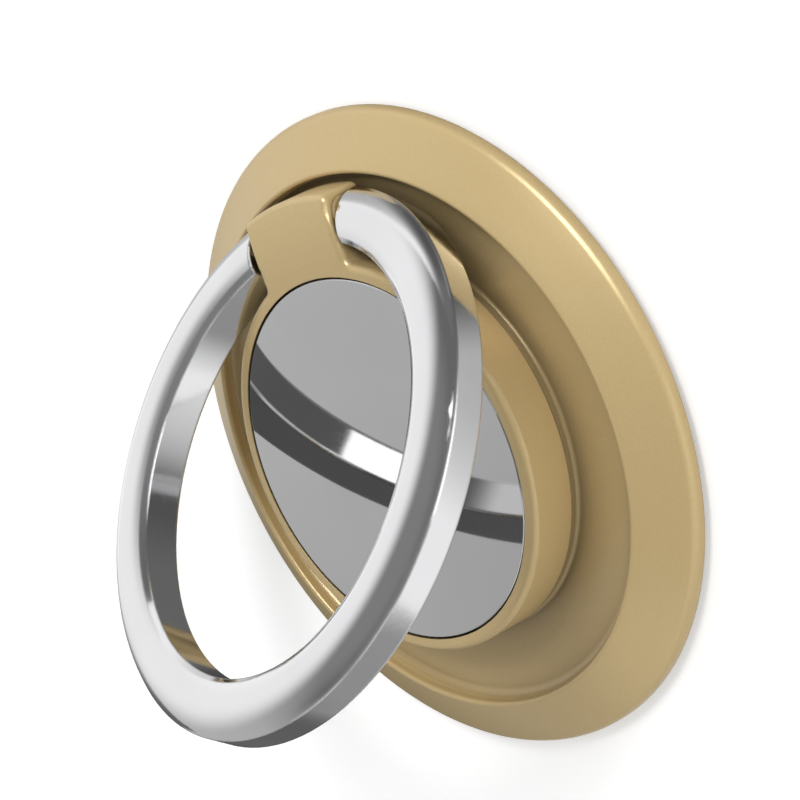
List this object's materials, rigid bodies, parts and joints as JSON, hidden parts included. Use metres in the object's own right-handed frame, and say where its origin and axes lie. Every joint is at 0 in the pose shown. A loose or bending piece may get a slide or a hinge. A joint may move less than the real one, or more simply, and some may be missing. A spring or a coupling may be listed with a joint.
{
  "type": "phone ring holder",
  "caption": "Round stick-on phone grip: a dished base, a hub that swivels in it and a crowned finger ring on a hinge that folds flat into the groove or props the phone up.",
  "frame": {"origin": "centre of the sticky back face, which lies on the phone", "axes": "+Z out of the phone along the swivel axis, +Y from the centre to the hinge, X along the hinge pin"},
  "size_m": [0.04, 0.04, 0.0226],
  "materials": {
    "gold_paint": "satin gold paint on a zinc casting",
    "chrome_plate": "bright chrome plate",
    "polished_steel": "mirror-polished steel",
    "spring_steel": "plain steel",
    "white_nylon": "slippery moulded nylon",
    "black_nylon": "moulded nylon",
    "foam_tape": "matt foam tape, sticky on both faces"
  },
  "bodies": {
    "base": {"adhesive_pad": "foam_tape", "base_plate": "gold_paint", "slide_washer": "white_nylon"},
    "turntable": {"hub": "gold_paint", "plate_tape": "foam_tape", "magnet_plate": "polished_steel", "disc_spring": "spring_steel", "retaining_plate": "spring_steel", "hinge_pin": "spring_steel", "friction_washer_left": "black_nylon", "friction_washer_right": "black_nylon"},
    "ring": {"finger_ring": "chrome_plate"}
  },
  "joints": [
    {"name": "hub_swivel", "type": "hinge", "parent": "base", "child": "turntable", "pos_m": [0, 0, 0], "axis": [0, 0, 1], "continuous": true},
    {"name": "ring_hinge", "type": "hinge", "parent": "turntable", "child": "ring", "pos_m": [0, 0.0142, 0.00441], "axis": [-1, 0, 0], "range_deg": [-36.4, 141.6]}
  ]
}
